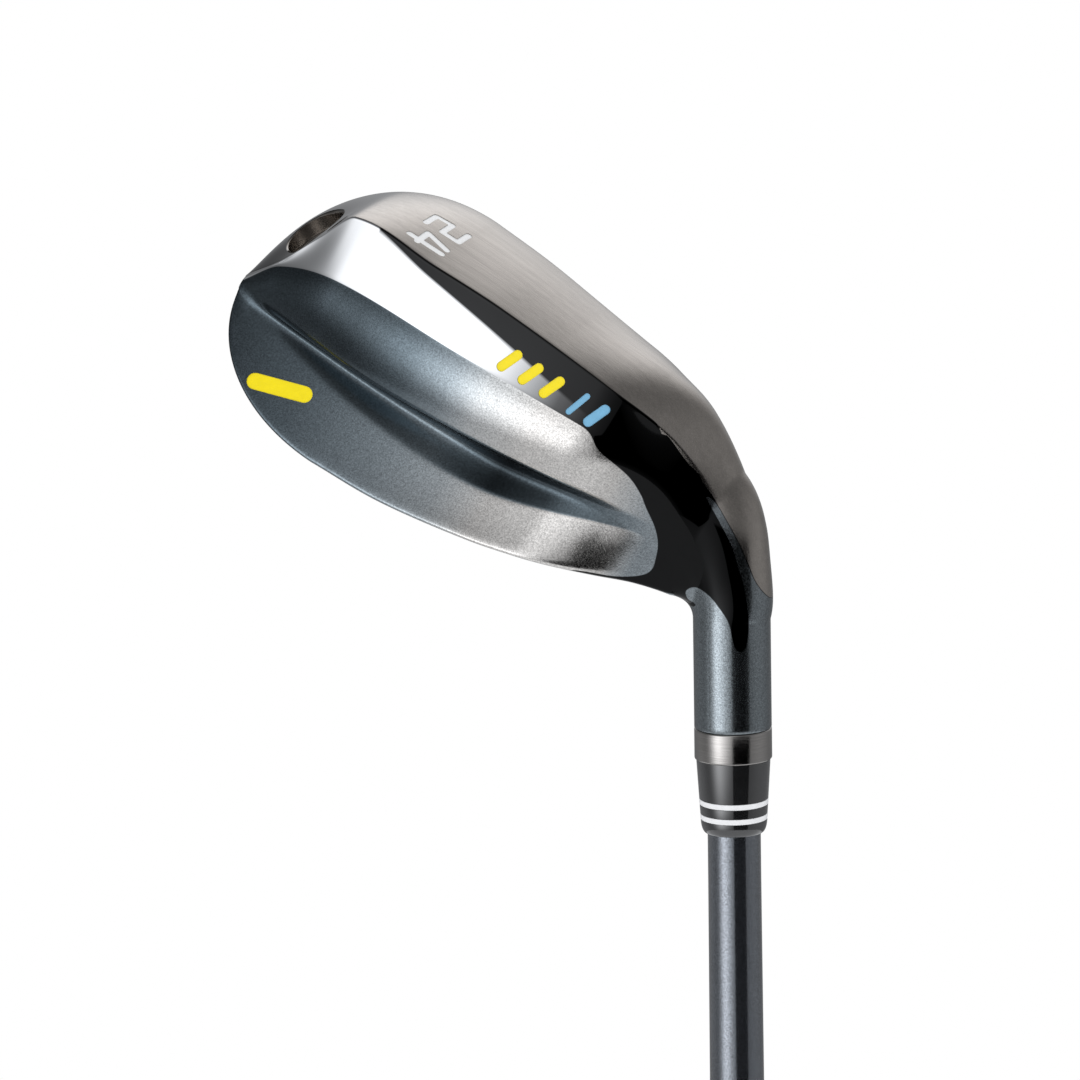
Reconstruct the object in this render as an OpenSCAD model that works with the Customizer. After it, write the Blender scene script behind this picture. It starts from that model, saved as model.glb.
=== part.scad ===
// Hybrid iron golf club: a hollow head with a welded face plate, ferrule, graphite shaft and rubber grip.
// Part frame: the shaft axis is Z, the butt of the grip rests at z = 0 and the head is at the top.
// Head frame, used inside on_head(): X from heel to toe, Y towards the target, Z up at address.

/* [Club] */
// Length from the butt to the ground point below the hosel, along the shaft
club_length = 978; // [900:1:1040]
// Angle between the shaft and the ground at address
lie = 60.5; // [58:0.5:63]
// Angle of the face from the vertical
loft = 24; // [22:1:26]

/* [Hosel and ferrule] */
// Outer diameter of the hosel
hosel_od = 13.72; // [13.4:0.02:14.2]
// Distance from the ground point to the end of the hosel
hosel_end = 63.3; // [60:0.1:68]
// Length of the brushed collar
collar_length = 5.5; // [4:0.1:7]
// Length of the ferrule, its two rings included
ferrule_length = 13.4; // [12:0.1:16]
// Width of each white ring
ring_width = 0.95; // [0.8:0.05:1.2]

/* [Shaft] */
// Diameter of the parallel shaft tip
tip_od = 9.4; // [9.3:0.05:9.5]
// Diameter of the shaft at its butt
butt_od = 15.2; // [14.8:0.1:15.6]
// Depth of the shaft tip, measured as its distance from the ground point
tip_seat = 33; // [30:1:36]
// Thickness of the epoxy between the shaft and the hosel
epoxy_gap = 0.1; // [0.05:0.01:0.15]

/* [Grip] */
// Length of the grip, its cap included
grip_length = 268; // [255:1:275]
// Diameter of the grip at its mouth
grip_mouth_od = 17.2; // [16.8:0.1:18]
// Diameter of the grip next to its cap
grip_butt_od = 26.5; // [25:0.1:27]
// Diameter of the vent hole in the cap
vent_d = 3; // [2:0.1:4]

/* [Head] */
// Distance of the toe end from the hosel axis, at ground level
toe_x = 82.7; // [82:0.1:84]
// Thickness of the face plate
plate_t = 1.9; // [1.6:0.1:2.0]
// Width of one score line
score_w = 0.8; // [0.6:0.05:0.9]
// Distance between score lines
score_pitch = 3.6; // [3.4:0.1:4]
// Radius of the toe port at its rim
port_r = 6.5; // [6:0.1:6.8]

/* [Hidden] */
round_fn = 96;

// Leading edge of the face, and the plane of the face above it
lead_y = 3.5;
lead_z = 3;
function face_y(z) = lead_y - (z - lead_z) * tan(loft);

// The crook, where the topline turns into the hosel: sections below crook_x turn about this point
crook_x = -11.1;
crook_z = 44;
crook_mean = 14;
hosel_r = hosel_od / 2;
neck_r = hosel_r - 0.05;
axis_z = crook_z - (crook_x * sin(lie) + crook_z * cos(lie));
neck_s = crook_x - crook_mean * lie * PI / 180;
neck_d = crook_z * sin(lie) - crook_x * cos(lie);

// Smooth interpolation in a table of [station, value] rows
function slope(t, i) = let (a = max(i - 1, 0), b = min(i + 1, len(t) - 1))
    (t[b][1] - t[a][1]) / (t[b][0] - t[a][0]);
function row(t, s, i = 0) = i >= len(t) - 2 || t[i + 1][0] >= s ? i : row(t, s, i + 1);
function hermite(p, q, m, n, h, u) = p * (1 + 2 * u) * (1 - u) * (1 - u) + m * h * u * (1 - u) * (1 - u)
    + q * u * u * (3 - 2 * u) - n * h * u * u * (1 - u);
function at(t, s) = s <= t[0][0] ? t[0][1] : s >= t[len(t) - 1][0] ? t[len(t) - 1][1] :
    let (i = row(t, s), h = t[i + 1][0] - t[i][0])
    hermite(t[i][1], t[i + 1][1], slope(t, i), slope(t, i + 1), h, (s - t[i][0]) / h);
function ease(u) = let (v = min(max(u, 0), 1)) v * v * (3 - 2 * v);
function mix(a, b, w) = a * (1 - w) + b * w;

// Outline of the head seen along Y: height of the topline and of the sole edge at a station
tip_z = 31;
top_rows = [[neck_s, axis_z + neck_r], [crook_x, 38.9], [-5, 39.5], [0, 40.7], [12, 43.6], [22.4, 46.1],
    [39.6, 48.9], [54, 49.7]];
sole_rows = [[neck_s, axis_z - neck_r], [-18.6, 22.2], [crook_x, 14], [-1.5, 7.7], [7.7, 5.4], [17.8, 4.1],
    [28.3, 3], [39.2, 2], [51, 1.5]];
function round_end(s, start, power) = s <= start ? 1 :
    pow(max(1 - pow((s - start) / (toe_x - start), power), 0), 1 / power);
function top_z(s) = tip_z + (at(top_rows, s) - tip_z) * round_end(s, 54, 2.1);
function sole_z(s) = tip_z - (tip_z - at(sole_rows, s)) * round_end(s, 51, 2.15);

// Lines that run along the back of the head, as [y, z] at a station
edge_rows = [[neck_s, [-7, 21]], [crook_x, [-11.5, 17]], [0, [-16, 10]], [11, [-19.5, 7.2]], [35, [-22, 5]],
    [50, [-22, 5.2]], [67.5, [-20.4, 6.4]], [72, [-18.9, 13.6]],
    [77, [-17.2, 22.2]], [toe_x, [-14, tip_z - 1.6]]];
crease_rows = [[neck_s, [-9, 24]], [-7, [-14, 17]], [9, [-19.8, 15.5]], [38, [-22.2, 16.3]], [65, [-20.6, 18.2]],
    [77, [-17, 23.4]], [toe_x, [-14.5, tip_z - 0.6]]];
bulge_rows = [[neck_s, [-9, 28]], [-4, [-14.6, 25.8]], [5, [-17.6, 26.4]], [27, [-20.8, 28.5]],
    [50, [-20.4, 30.8]], [66, [-18, 31.6]], [79.5, [-15.4, 31.6]], [toe_x, [-14.8, tip_z + 0.2]]];
groove_rows = [[neck_s, [-8.7, 29]], [-4, [-14.4, 26.4]], [5, [-14.6, 28.6]], [24, [-14.2, 33]],
    [37, [-14.4, 33.6]], [50, [-14.4, 33.8]], [66, [-14.6, 33.3]], [79.5, [-15.3, 32.3]],
    [toe_x, [-14.8, tip_z + 0.7]]];
lip_rows = [[neck_s, [-8.5, 30]], [-4, [-14.4, 27]], [3.4, [-15, 30.3]], [12, [-15.8, 33.8]], [24, [-16.9, 37.1]],
    [37, [-17.6, 38.1]], [49, [-17.6, 37.6]], [59, [-17.2, 36.7]], [79.5, [-15.5, 33]],
    [toe_x, [-14.9, tip_z + 1.2]]];
top_t = 4.8;
top_drop = 0.8;
function sole_low(s) = mix(2.6, 0.8, ease(s / 25));

// Points of one section of the blade, from the leading edge up the face and round the back
function bend(a, c, b, n) = [for (i = [0 : n - 1]) let (u = i / n)
    a * (1 - u) * (1 - u) + c * 2 * u * (1 - u) + b * u * u];
function blade(s) =
    let (low = sole_z(s), high = top_z(s), fade = round_end(s, 51, 2.15),
        lead = [face_y(low), low], front = [face_y(high - 1), high - 1],
        back = [face_y(high) - top_t, high - top_drop],
        lip = at(lip_rows, s), groove = at(groove_rows, s), bulge = at(bulge_rows, s),
        crease = at(crease_rows, s), edge = at(edge_rows, s),
        keel = [mix(face_y(low), edge[0], 0.42), min(low, edge[1]) - sole_low(s) * 2 * fade])
    concat(
        bend(lead, (lead + front) / 2, front, 5),
        bend(front, [face_y(high) - 1, high + 0.6], back, 4),
        bend(back, (back + lip) / 2 + [0.4, 0], lip, 4),
        bend(lip, mix(lip, groove, 0.6), groove, 3),
        bend(groove, mix(groove, [groove[0], bulge[1]], 0.6), bulge, 4),
        bend(bulge, [min(bulge[0], crease[0]) - 1.6 * fade, (bulge[1] + crease[1]) / 2], crease, 5),
        bend(crease, (crease + edge) / 2 + [0.3, 0], edge, 3),
        bend(edge, keel, lead, 8));

// The same points on the round neck, at fixed angles from the front
neck_stops = [[0, -35], [5, 50], [9, 100], [13, 140], [16, 150], [20, 165], [25, 190], [28, 220], [36, 325]];
function neck(s, n) = [for (i = [0 : n - 1]) let (a = lookup(i, neck_stops))
    [neck_r * cos(a), (1 + sin(a)) / 2]];

// A whole section: the blade's shape turns into the round neck towards the hosel
blend_from = 14;
function section(s) =
    let (w = ease((blend_from - s) / (blend_from - neck_s)), low = sole_z(s), high = top_z(s),
        pts = blade(s), ring = neck(s, len(pts)), zs = [for (p = pts) p[1]],
        floor_z = min(zs), span = max(zs) - floor_z, round_low = mix(floor_z, low, w))
    [for (i = [0 : len(pts) - 1])
        [mix(pts[i][0], ring[i][0], w),
            round_low + mix((pts[i][1] - floor_z) / span, ring[i][1], w) * (high - round_low)]];
function place(s, p) = s >= crook_x ? [s, p[0], p[1]] :
    let (a = (crook_x - s) / crook_mean * 180 / PI, r = crook_z - p[1])
    [crook_x - r * sin(a), p[0], crook_z - r * cos(a)];

// A closed skin over a list of sections with the same number of points each. cap lists the faces of its first end.
module skin(rings, cap) {
    n = len(rings[0]);
    m = len(rings);
    first = is_undef(cap) ? [[for (j = [0 : n - 1]) j]] : cap;
    last = [for (f = first) [for (j = [len(f) - 1 : -1 : 0]) f[j] + (m - 1) * n]];
    polyhedron(
        points = [for (r = rings) for (p = r) p],
        faces = concat(
            first,
            [for (i = [0 : m - 2]) for (j = [0 : n - 1]) [i * n + j, (i + 1) * n + j, i * n + (j + 1) % n]],
            [for (i = [0 : m - 2]) for (j = [0 : n - 1])
                [i * n + (j + 1) % n, (i + 1) * n + j, (i + 1) * n + (j + 1) % n]],
            last),
        convexity = 6);
}

neck_steps = 9;
blade_steps = 14;
toe_steps = 9;
toe_from = 62;
toe_sweep = 82;
stations = concat(
    [for (i = [0 : neck_steps - 1]) mix(neck_s, crook_x, i / neck_steps)],
    [for (i = [0 : blade_steps - 1]) mix(crook_x, toe_from, i / blade_steps)],
    [for (i = [0 : toe_steps]) toe_from + (toe_x - toe_from) * sin(i / toe_steps * toe_sweep)]);

module on_head() {
    translate([0, 0, club_length]) rotate([0, 270 - lie, 0]) children();
}

// Head-frame axis of the shaft, pointing up to the grip, with z as the distance from the ground point
module on_hosel() {
    rotate([0, lie - 90, 0]) children();
}

module outer_shape() {
    rings = [for (s = stations) [for (p = section(s)) place(s, p)]];
    root = [for (p = rings[0]) p + [-cos(lie), 0, sin(lie)]];
    skin(concat([root], rings));
    on_hosel() translate([0, 0, neck_d]) cylinder(r = hosel_r, h = hosel_end - neck_d, $fn = round_fn);
}

// The hollow behind the face: it stays one wall inside the outer lines
wall = 2.2;
hollow_from = 13;
hollow_to = 60.7;
hollow_lap = 0.5;
hollow_steps = 10;
function hollow(s) =
    let (low = sole_z(s) + 3.4, high = top_z(s) - 3.6, back = (plate_t - hollow_lap) / cos(loft),
        lip = at(lip_rows, s), groove = at(groove_rows, s), bulge = at(bulge_rows, s),
        crease = at(crease_rows, s), edge = at(edge_rows, s))
    [[face_y(low) - back, low], [face_y(high) - back, high], [face_y(high) - back - 0.8, high],
        [min(lip[0] + 1.6, face_y(lip[1]) - back - 0.4), lip[1]],
        [min(groove[0] + 1.4, face_y(groove[1]) - back - 0.4), groove[1]],
        [bulge[0] + wall, bulge[1] - wall], [crease[0] + wall, crease[1]],
        [edge[0] + wall, edge[1] + wall], [mix(lead_y, edge[0], 0.5), low - 0.9]];
module hollow_shape() {
    skin([for (i = [0 : hollow_steps]) let (s = mix(hollow_from, hollow_to, i / hollow_steps))
        [for (p = hollow(s)) [s, p[0], p[1]]]],
        [[0, 1, 4], [1, 2, 3], [1, 3, 4], [0, 4, 5], [0, 5, 6], [0, 6, 7], [0, 7, 8]]);
}

// The face plane: x along X, y up the face from the leading edge, z into the head
plate_from = 8;
plate_to = 72;
plate_margin = 2.8;
plate_steps = 18;
function up_face(z) = (z - lead_z) / cos(loft);
function plate_half(s) = let (c = (plate_from + plate_to) / 2, h = (plate_to - plate_from) / 2)
    pow(max(1 - pow(abs(s - c) / h, 4), 0), 1 / 4);
function plate_edge(s, side) = let (low = up_face(sole_z(s)) + plate_margin, high = up_face(top_z(s) - 1) - plate_margin)
    (low + high) / 2 + side * plate_half(s) * (high - low) / 2;
module on_face() {
    translate([0, lead_y, lead_z]) rotate([90 + loft, 0, 0]) children();
}
module plate_outline() {
    mid = (plate_from + plate_to) / 2;
    half = (plate_to - plate_from) / 2;
    xs = [for (i = [0 : plate_steps]) mid - half * cos(i / plate_steps * 180)];
    polygon(concat([for (x = xs) [x, plate_edge(x, -1)]],
        [for (i = [plate_steps - 1 : -1 : 1]) [xs[i], plate_edge(xs[i], 1)]]));
}

// The toe port: z points out of the head along the axis of the port
port_at = [76, -12, 16];
port_axis = [0.677, -0.445, -0.586];
port_bore_r = 5.6;
port_step = 3.4;
port_depth = 5.8;
weight_r = 4.9;
weight_t = 1.9;
module on_port() {
    translate(port_at) rotate([0, acos(port_axis[2] / norm(port_axis)), atan2(port_axis[1], port_axis[0])]) children();
}
module port() {
    on_port() {
        translate([0, 0, -port_depth]) cylinder(r = weight_r, h = port_depth + 6, $fn = round_fn);
        translate([0, 0, -port_step]) cylinder(r = port_bore_r, h = port_step + 6, $fn = round_fn);
        translate([0, 0, -0.9]) cylinder(r1 = port_bore_r, r2 = port_r, h = 0.9, $fn = round_fn);
        cylinder(r = port_r, h = 6, $fn = round_fn);
    }
}

// The loft number on the sole, in plain block figures. Its up is towards the heel.
figure_h = 8.2;
figure_w = 5;
figure_gap = 1.3;
figure_line = 1.3;
figure_at = [54.4, -14, 3.05];
figure_tilt = 13;
figure_sink = 0.6;
module figure_2() {
    translate([0, 0]) square([figure_w, figure_line]);
    translate([0, figure_h - figure_line]) square([figure_w, figure_line]);
    translate([0, (figure_h - figure_line) / 2]) square([figure_w, figure_line]);
    square([figure_line, figure_h / 2]);
    translate([figure_w - figure_line, figure_h / 2]) square([figure_line, figure_h / 2]);
}
module figure_4() {
    translate([figure_w * 0.58, 0]) square([figure_line, figure_h]);
    translate([0, figure_h * 0.28]) square([figure_w, figure_line]);
    polygon([[0, figure_h * 0.28], [figure_line * 1.2, figure_h * 0.28], [figure_w * 0.58 + figure_line, figure_h],
        [figure_w * 0.58 - figure_line * 0.2, figure_h]]);
}
module number_cut() {
    width = 2 * figure_w + figure_gap;
    translate(figure_at) rotate([-figure_tilt, 0, 0]) rotate([180, 0, -90])
        translate([-width / 2, -figure_h / 2, -figure_sink]) linear_extrude(4) {
            figure_2();
            translate([figure_w + figure_gap, 0]) figure_4();
        }
}

// Slanted bars of coloured enamel on the polished back, as [station, width]
bar_h = 5.2;
bar_slant = 1.6;
yellow_bars = [[30, 3], [25.6, 3], [21.2, 3]];
blue_bars = [[15.8, 1.2], [12, 2.8]];
bar_sink = 0.5;
bar_lean = 5;
bar_height = 0.66;
module bar_cut(s, w) {
    near = mix(at(edge_rows, s - 2), at(crease_rows, s - 2), bar_height);
    here = mix(at(edge_rows, s), at(crease_rows, s), bar_height);
    far = mix(at(edge_rows, s + 2), at(crease_rows, s + 2), bar_height);
    turn = atan2(far[0] - near[0], 4);
    translate([s, here[0] + bar_sink, here[1]]) rotate([90 + bar_lean, 0, turn])
        linear_extrude(4) polygon([[-w / 2 - bar_slant / 2, -bar_h / 2], [w / 2 - bar_slant / 2, -bar_h / 2],
            [w / 2 + bar_slant / 2, bar_h / 2], [-w / 2 + bar_slant / 2, bar_h / 2]]);
}
mark_at = [66, -18.4, 42];
mark_l = 12.5;
mark_w = 3;
mark_turn = 18;
mark_lean = 21;
module mark_cut() {
    translate(mark_at) rotate([90 + mark_lean, 0, 0]) rotate([0, 0, mark_turn]) linear_extrude(5) {
        square([mark_l - mark_w, mark_w], center = true);
        for (side = [-1, 1]) translate([side * (mark_l - mark_w) / 2, 0]) circle(d = mark_w, $fn = 32);
    }
}

module head_body() {
    color([0.27, 0.29, 0.31]) on_head() difference() {
        outer_shape();
        hollow_shape();
        on_face() translate([0, 0, -2]) linear_extrude(plate_t + 2) plate_outline();
        on_hosel() translate([0, 0, tip_seat]) cylinder(r = tip_od / 2 + epoxy_gap, h = 60, $fn = round_fn);
        port();
        number_cut();
        for (b = concat(yellow_bars, blue_bars)) bar_cut(b[0], b[1]);
        mark_cut();
    }
}

score_from = 14;
score_to = 66;
score_d = 0.4;
score_lines = 11;
score_first = 6;
module face_plate() {
    color([0.33, 0.34, 0.35]) on_head() on_face() difference() {
        linear_extrude(plate_t) plate_outline();
        for (i = [0 : score_lines - 1])
            translate([score_from, score_first + i * score_pitch, -1]) cube([score_to - score_from, score_w, score_d + 1]);
    }
}

weight_edge = 0.3;
module toe_weight() {
    color([0.62, 0.63, 0.64]) on_head() on_port() translate([0, 0, -port_depth]) {
        cylinder(r = weight_r, h = weight_t - weight_edge, $fn = round_fn);
        translate([0, 0, weight_t - weight_edge])
            cylinder(r1 = weight_r, r2 = weight_r - weight_edge, h = weight_edge, $fn = round_fn);
    }
}

module loft_number() {
    color("white") on_head() intersection() {
        outer_shape();
        number_cut();
    }
}
module accent_bars_yellow() {
    color([1, 0.91, 0]) on_head() intersection() {
        outer_shape();
        for (b = yellow_bars) bar_cut(b[0], b[1]);
    }
}
module accent_bars_blue() {
    color([0.47, 0.7, 0.84]) on_head() intersection() {
        outer_shape();
        for (b = blue_bars) bar_cut(b[0], b[1]);
    }
}
module toe_mark() {
    color([1, 0.91, 0]) on_head() intersection() {
        outer_shape();
        mark_cut();
    }
}

// Pieces on the shaft are turned about Z. Their heights are distances from the ground point.
function z_of(d) = club_length - d;
collar_end = hosel_end + collar_length;
ferrule_end = collar_end + ferrule_length;
bore_r = tip_od / 2;
base_r = 6.56;
nose_r = 5.86;
ring_low = ferrule_end - 6.1;
ring_high = ferrule_end - 3.4;
function ferrule_r(d) = mix(base_r, nose_r, (d - collar_end) / (ferrule_length - 2));
module turned(from, to, r_from, r_to) {
    rotate_extrude($fn = round_fn)
        polygon([[bore_r, z_of(from)], [r_from, z_of(from)], [r_to, z_of(to)], [bore_r, z_of(to)]]);
}

module hosel_epoxy() {
    color([0.75, 0.7, 0.55]) translate([0, 0, z_of(hosel_end)]) difference() {
        cylinder(r = bore_r + epoxy_gap, h = hosel_end - tip_seat, $fn = round_fn);
        translate([0, 0, -1]) cylinder(r = bore_r, h = hosel_end - tip_seat + 2, $fn = round_fn);
    }
}
collar_edge = 0.25;
module hosel_collar() {
    color([0.55, 0.54, 0.53]) rotate_extrude($fn = round_fn)
        polygon([[bore_r, z_of(hosel_end)], [hosel_r - collar_edge, z_of(hosel_end)],
            [hosel_r, z_of(hosel_end + collar_edge)], [hosel_r, z_of(collar_end - collar_edge)],
            [hosel_r - collar_edge, z_of(collar_end)], [bore_r, z_of(collar_end)]]);
}
module ferrule_base() {
    color([0.04, 0.04, 0.05]) turned(collar_end, ring_low, base_r, ferrule_r(ring_low));
}
module ferrule_ring_lower() {
    color("white") turned(ring_low, ring_low + ring_width, ferrule_r(ring_low), ferrule_r(ring_low + ring_width));
}
module ferrule_spacer() {
    color([0.04, 0.04, 0.05])
        turned(ring_low + ring_width, ring_high, ferrule_r(ring_low + ring_width), ferrule_r(ring_high));
}
module ferrule_ring_upper() {
    color("white") turned(ring_high, ring_high + ring_width, ferrule_r(ring_high), ferrule_r(ring_high + ring_width));
}
module ferrule_nose() {
    shoulder = ring_high + ring_width;
    r = ferrule_r(shoulder);
    drop = ferrule_end - shoulder;
    color([0.04, 0.04, 0.05]) rotate_extrude($fn = round_fn)
        polygon(concat([[bore_r, z_of(ferrule_end)], [bore_r, z_of(shoulder)]],
            [for (a = [0 : 15 : 90]) [bore_r + 0.25 + (r - bore_r - 0.25) * cos(a), z_of(shoulder + drop * sin(a))]]));
}

// The shaft is parallel up to the ferrule and then tapers to the butt
cap_t = 6;
shaft_butt = 4;
wall_tip = 1.7;
wall_butt = 1;
taper_d = 90;
module shaft() {
    color([0.17, 0.18, 0.2]) rotate_extrude($fn = round_fn)
        polygon([[bore_r - wall_tip, z_of(tip_seat)], [bore_r, z_of(tip_seat)], [bore_r, z_of(taper_d)],
            [butt_od / 2, shaft_butt], [butt_od / 2 - wall_butt, shaft_butt], [bore_r - wall_tip, z_of(taper_d)]]);
}
pin_l = 18;
module swing_weight_pin() {
    color([0.72, 0.6, 0.3]) translate([0, 0, z_of(tip_seat)]) {
        translate([0, 0, -pin_l]) cylinder(r = bore_r - wall_tip, h = pin_l, $fn = round_fn);
        cylinder(r = bore_r, h = 0.8, $fn = round_fn);
    }
}

// The grip: rubber over tape, with a cap that closes the butt
tape_t = 0.3;
function shaft_r(z) = mix(butt_od / 2, bore_r, (z - shaft_butt) / (z_of(taper_d) - shaft_butt));
module grip_tape() {
    color([0.85, 0.83, 0.76]) rotate_extrude($fn = round_fn)
        polygon([[shaft_r(cap_t), cap_t], [shaft_r(cap_t) + tape_t, cap_t],
            [shaft_r(grip_length - 6) + tape_t, grip_length - 6], [shaft_r(grip_length - 6), grip_length - 6]]);
}
lip_l = 6;
module grip_sleeve() {
    color([0.06, 0.06, 0.06]) rotate_extrude($fn = round_fn)
        polygon([[shaft_r(cap_t) + tape_t, cap_t], [grip_butt_od / 2, cap_t],
            [mix(grip_butt_od, grip_mouth_od, 0.2) / 2 - 0.3, 60], [mix(grip_butt_od, grip_mouth_od, 0.5) / 2 - 0.4, 130],
            [grip_mouth_od / 2, grip_length - 2], [grip_mouth_od / 2 - 0.6, grip_length],
            [shaft_r(grip_length), grip_length], [shaft_r(grip_length - lip_l), grip_length - lip_l],
            [shaft_r(grip_length - lip_l) + tape_t, grip_length - lip_l]]);
}
cap_r = 13.5;
module grip_cap() {
    color([0.05, 0.05, 0.05]) rotate_extrude($fn = round_fn)
        polygon(concat([[vent_d / 2, 0]],
            [for (a = [-90 : 15 : 0]) [cap_r - 2.4 + 2.4 * cos(a), 2.4 + 2.4 * sin(a)]],
            [[grip_butt_od / 2, cap_t], [butt_od / 2, cap_t], [butt_od / 2, shaft_butt], [vent_d / 2, shaft_butt]]));
}

head_body();
face_plate();
toe_weight();
loft_number();
accent_bars_yellow();
accent_bars_blue();
toe_mark();
hosel_epoxy();
hosel_collar();
ferrule_base();
ferrule_ring_lower();
ferrule_spacer();
ferrule_ring_upper();
ferrule_nose();
shaft();
swing_weight_pin();
grip_tape();
grip_sleeve();
grip_cap();
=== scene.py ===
"""Looks of a hybrid iron golf club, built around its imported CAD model. Lengths are in millimetres until to_row()."""

import math

import bmesh
import bpy
import numpy as np
from mathutils import Matrix, Vector
from mathutils.bvhtree import BVHTree
from mathutils.geometry import delaunay_2d_cdt


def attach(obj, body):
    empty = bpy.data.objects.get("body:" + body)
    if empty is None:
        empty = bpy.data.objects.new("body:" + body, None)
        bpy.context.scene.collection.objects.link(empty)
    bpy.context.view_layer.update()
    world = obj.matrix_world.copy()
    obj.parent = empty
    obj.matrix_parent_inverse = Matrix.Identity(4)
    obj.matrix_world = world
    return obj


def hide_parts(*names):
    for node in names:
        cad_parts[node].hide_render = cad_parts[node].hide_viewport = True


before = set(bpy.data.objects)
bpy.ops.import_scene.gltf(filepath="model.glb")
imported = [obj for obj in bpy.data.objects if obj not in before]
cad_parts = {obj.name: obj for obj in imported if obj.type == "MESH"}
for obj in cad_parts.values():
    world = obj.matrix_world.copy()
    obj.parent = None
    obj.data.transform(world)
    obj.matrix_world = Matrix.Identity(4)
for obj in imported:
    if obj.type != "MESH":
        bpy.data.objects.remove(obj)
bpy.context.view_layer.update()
MM = 0.001

# ---------------------------------------------------------------- club dimensions
CLUB_LENGTH = 978
LIE = math.radians(60.5)
LOFT = math.radians(24)
LEAD_Y = 3.5
LEAD_Z = 3
HOSEL_R = 6.86
HOSEL_END = 63.3
HOSEL_EDGE = 0.25
BORE_R = 4.8
COLLAR_LENGTH = 5.5
FERRULE_LENGTH = 13.4
FERRULE_R = (6.56, 5.86)
RINGS_FROM_END = (6.1, 3.4)
RING_WIDTH = 0.95
TIP_R = 4.7
TOE_X = 82.7
TIP_Z = 31
CROOK = (-11.1, 44)
CROOK_MEAN = 14
AXIS_Z = CROOK[1] - (CROOK[0] * math.sin(LIE) + CROOK[1] * math.cos(LIE))
NECK_S = CROOK[0] - CROOK_MEAN * LIE
NECK_D = CROOK[1] * math.sin(LIE) - CROOK[0] * math.cos(LIE)
SHAFT_DIR = np.array([-math.cos(LIE), 0, math.sin(LIE)])


def to_row(points):
    """Head frame in millimetres to the row frame in metres."""
    p = np.atleast_2d(np.asarray(points, float))
    turn = math.radians(270) - LIE
    x = p[:, 0] * math.cos(turn) + p[:, 2] * math.sin(turn)
    z = -p[:, 0] * math.sin(turn) + p[:, 2] * math.cos(turn) + CLUB_LENGTH
    return np.stack([x, p[:, 1], z], -1) * MM


def row_direction(vector):
    return to_row([vector])[0] - to_row([[0, 0, 0]])[0]


def from_row(points):
    """Row frame in metres to the head frame in millimetres."""
    p = np.atleast_2d(np.asarray(points, float)) / MM
    turn = math.radians(270) - LIE
    z = p[:, 2] - CLUB_LENGTH
    return np.stack([p[:, 0] * math.cos(turn) - z * math.sin(turn), p[:, 1],
                     p[:, 0] * math.sin(turn) + z * math.cos(turn)], -1)


# ---------------------------------------------------------------- the head's lines, as in the CAD source
def face_y(z):
    return LEAD_Y - (z - LEAD_Z) * math.tan(LOFT)


def mix(a, b, w):
    return a * (1 - w) + b * w


def ease(u):
    v = np.clip(u, 0, 1)
    return v * v * (3 - 2 * v)


def at(rows, s):
    """Smooth interpolation in a table of (station, value) rows."""
    xs = [r[0] for r in rows]
    vs = [np.array(r[1], float) for r in rows]
    if s <= xs[0]:
        return vs[0]
    if s >= xs[-1]:
        return vs[-1]
    last = len(xs) - 1

    def slope(k):
        a, b = max(k - 1, 0), min(k + 1, last)
        return (vs[b] - vs[a]) / (xs[b] - xs[a])

    i = max(k for k in range(last) if xs[k] < s)
    h = xs[i + 1] - xs[i]
    u = (s - xs[i]) / h
    return (vs[i] * (1 + 2 * u) * (1 - u) ** 2 + slope(i) * h * u * (1 - u) ** 2
            + vs[i + 1] * u * u * (3 - 2 * u) - slope(i + 1) * h * u * u * (1 - u))


TOP_ROWS = [(NECK_S, AXIS_Z + HOSEL_R), (CROOK[0], 38.9), (-5, 39.5), (0, 40.7), (12, 43.6), (22.4, 46.1),
            (39.6, 48.9), (54, 49.7)]
SOLE_ROWS = [(NECK_S, AXIS_Z - HOSEL_R), (-18.6, 22.2), (CROOK[0], 14), (-1.5, 7.7), (7.7, 5.4), (17.8, 4.1),
             (28.3, 3), (39.2, 2), (51, 1.5)]
EDGE_ROWS = [(NECK_S, (-7, 21)), (CROOK[0], (-11.5, 17)), (0, (-16, 10)), (11, (-19.5, 7.2)), (35, (-22, 5)),
             (50, (-22, 5.2)), (67.5, (-20.4, 6.4)), (72, (-18.9, 13.6)), (77, (-17.2, 22.2)),
             (TOE_X, (-14, TIP_Z - 1.6))]
CREASE_ROWS = [(NECK_S, (-9, 24)), (-7, (-14, 17)), (9, (-19.8, 15.5)), (38, (-22.2, 16.3)), (65, (-20.6, 18.2)),
               (77, (-17, 23.4)), (TOE_X, (-14.5, TIP_Z - 0.6))]
BULGE_ROWS = [(NECK_S, (-9, 28)), (-4, (-14.6, 25.8)), (5, (-17.6, 26.4)), (27, (-20.8, 28.5)), (50, (-20.4, 30.8)),
              (66, (-18, 31.6)), (79.5, (-15.4, 31.6)), (TOE_X, (-14.8, TIP_Z + 0.2))]
GROOVE_ROWS = [(NECK_S, (-8.7, 29)), (-4, (-14.4, 26.4)), (5, (-14.6, 28.6)), (24, (-14.2, 33)), (37, (-14.4, 33.6)),
               (50, (-14.4, 33.8)), (66, (-14.6, 33.3)), (79.5, (-15.3, 32.3)), (TOE_X, (-14.8, TIP_Z + 0.7))]
LIP_ROWS = [(NECK_S, (-8.5, 30)), (-4, (-14.4, 27)), (3.4, (-15, 30.3)), (12, (-15.8, 33.8)), (24, (-16.9, 37.1)),
            (37, (-17.6, 38.1)), (49, (-17.6, 37.6)), (59, (-17.2, 36.7)), (79.5, (-15.5, 33)),
            (TOE_X, (-14.9, TIP_Z + 1.2))]
TOP_T, TOP_DROP, BLEND_FROM = 4.8, 0.8, 14
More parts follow.
